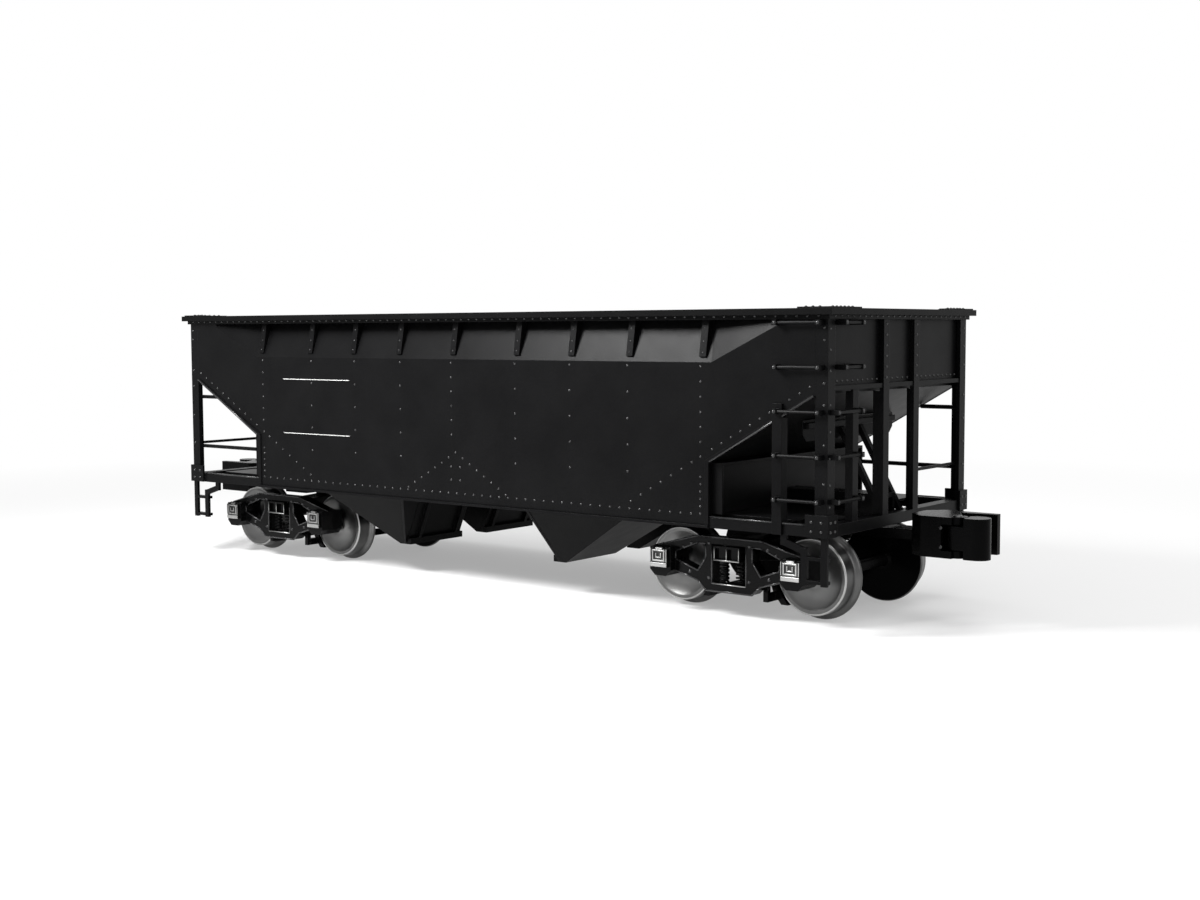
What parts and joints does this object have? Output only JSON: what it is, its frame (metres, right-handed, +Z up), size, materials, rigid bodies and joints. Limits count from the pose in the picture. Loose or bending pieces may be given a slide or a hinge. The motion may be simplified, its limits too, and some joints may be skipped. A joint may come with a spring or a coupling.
{
  "type": "model railroad hopper car",
  "caption": "O scale model of a two-bay offset-side open hopper car, with swivelling trucks, rolling wheelsets and knuckle couplers that open",
  "frame": {"origin": "centre of the car at the height of the wheel flanges' lowest points", "axes": "+X along the car to its right end, +Y across it to the far side, +Z up"},
  "size_m": [0.2582, 0.0702, 0.0696],
  "materials": {
    "body_black": "satin black",
    "truck_black": "gloss black",
    "wheel_steel": "turned",
    "lid_bright": "bright"
  },
  "bodies": {
    "car_body": {"top_rim": "body_black", "center_ridge": "body_black", "center_sill": "body_black", "side_panel_near": "body_black", "side_panel_far": "body_black", "stakes_near": "body_black", "stakes_far": "body_black", "side_sill_near": "body_black", "side_sill_far": "body_black", "end_sheet_right": "body_black", "slope_sheet_right": "body_black", "sill_hood_right": "body_black", "bay_chutes_right": "body_black", "bay_doors_right": "body_black", "end_sill_right": "body_black", "corner_posts_right": "body_black", "end_posts_right": "body_black", "end_braces_right": "body_black", "body_bolster_right": "body_black", "bulkhead_right": "body_black", "side_ladder_right": "body_black", "end_ladder_right": "body_black", "corner_bars_right": "body_black", "steps_right": "body_black", "end_sheet_left": "body_black", "slope_sheet_left": "body_black", "sill_hood_left": "body_black", "bay_chutes_left": "body_black", "bay_doors_left": "body_black", "end_sill_left": "body_black", "corner_posts_left": "body_black", "end_posts_left": "body_black", "end_braces_left": "body_black", "body_bolster_left": "body_black", "bulkhead_left": "body_black", "side_ladder_left": "body_black", "end_ladder_left": "body_black", "corner_bars_left": "body_black", "steps_left": "body_black"},
    "truck_right": {"truck_frames_right": "truck_black", "journal_lids_right": "lid_bright", "truck_bolster_right": "truck_black", "springs_right": "truck_black", "brake_beams_right": "truck_black", "coupler_arm_right": "truck_black"},
    "knuckle_right": {"knuckle_right": "truck_black"},
    "wheelset_outer_right": {"wheelset_outer_right": "wheel_steel"},
    "wheelset_inner_right": {"wheelset_inner_right": "wheel_steel"},
    "truck_left": {"truck_frames_left": "truck_black", "journal_lids_left": "lid_bright", "truck_bolster_left": "truck_black", "springs_left": "truck_black", "brake_beams_left": "truck_black", "coupler_arm_left": "truck_black"},
    "knuckle_left": {"knuckle_left": "truck_black"},
    "wheelset_outer_left": {"wheelset_outer_left": "wheel_steel"},
    "wheelset_inner_left": {"wheelset_inner_left": "wheel_steel"}
  },
  "joints": [
    {"name": "truck_swivel_right", "type": "hinge", "parent": "car_body", "child": "truck_right", "pos_m": [0.0769, 0, 0.0171], "axis": [0, 0, 1], "range_deg": [-12, 12]},
    {"name": "wheel_turn_outer_right", "type": "hinge", "parent": "truck_right", "child": "wheelset_outer_right", "pos_m": [0.09445, 0, 0.01005], "axis": [0, 1, 0], "continuous": true},
    {"name": "wheel_turn_inner_right", "type": "hinge", "parent": "truck_right", "child": "wheelset_inner_right", "pos_m": [0.05935, 0, 0.01005], "axis": [0, 1, 0], "continuous": true},
    {"name": "knuckle_open_right", "type": "hinge", "parent": "truck_right", "child": "knuckle_right", "pos_m": [0.1216, -0.0034, 0.0195], "axis": [0, 0, -1], "range_deg": [0, 40]},
    {"name": "truck_swivel_left", "type": "hinge", "parent": "car_body", "child": "truck_left", "pos_m": [-0.0769, 0, 0.0171], "axis": [0, 0, 1], "range_deg": [-12, 12]},
    {"name": "wheel_turn_outer_left", "type": "hinge", "parent": "truck_left", "child": "wheelset_outer_left", "pos_m": [-0.09445, 0, 0.01005], "axis": [0, 1, 0], "continuous": true},
    {"name": "wheel_turn_inner_left", "type": "hinge", "parent": "truck_left", "child": "wheelset_inner_left", "pos_m": [-0.05935, 0, 0.01005], "axis": [0, 1, 0], "continuous": true},
    {"name": "knuckle_open_left", "type": "hinge", "parent": "truck_left", "child": "knuckle_left", "pos_m": [-0.1216, 0.0034, 0.0195], "axis": [0, 0, -1], "range_deg": [0, 40]}
  ]
}
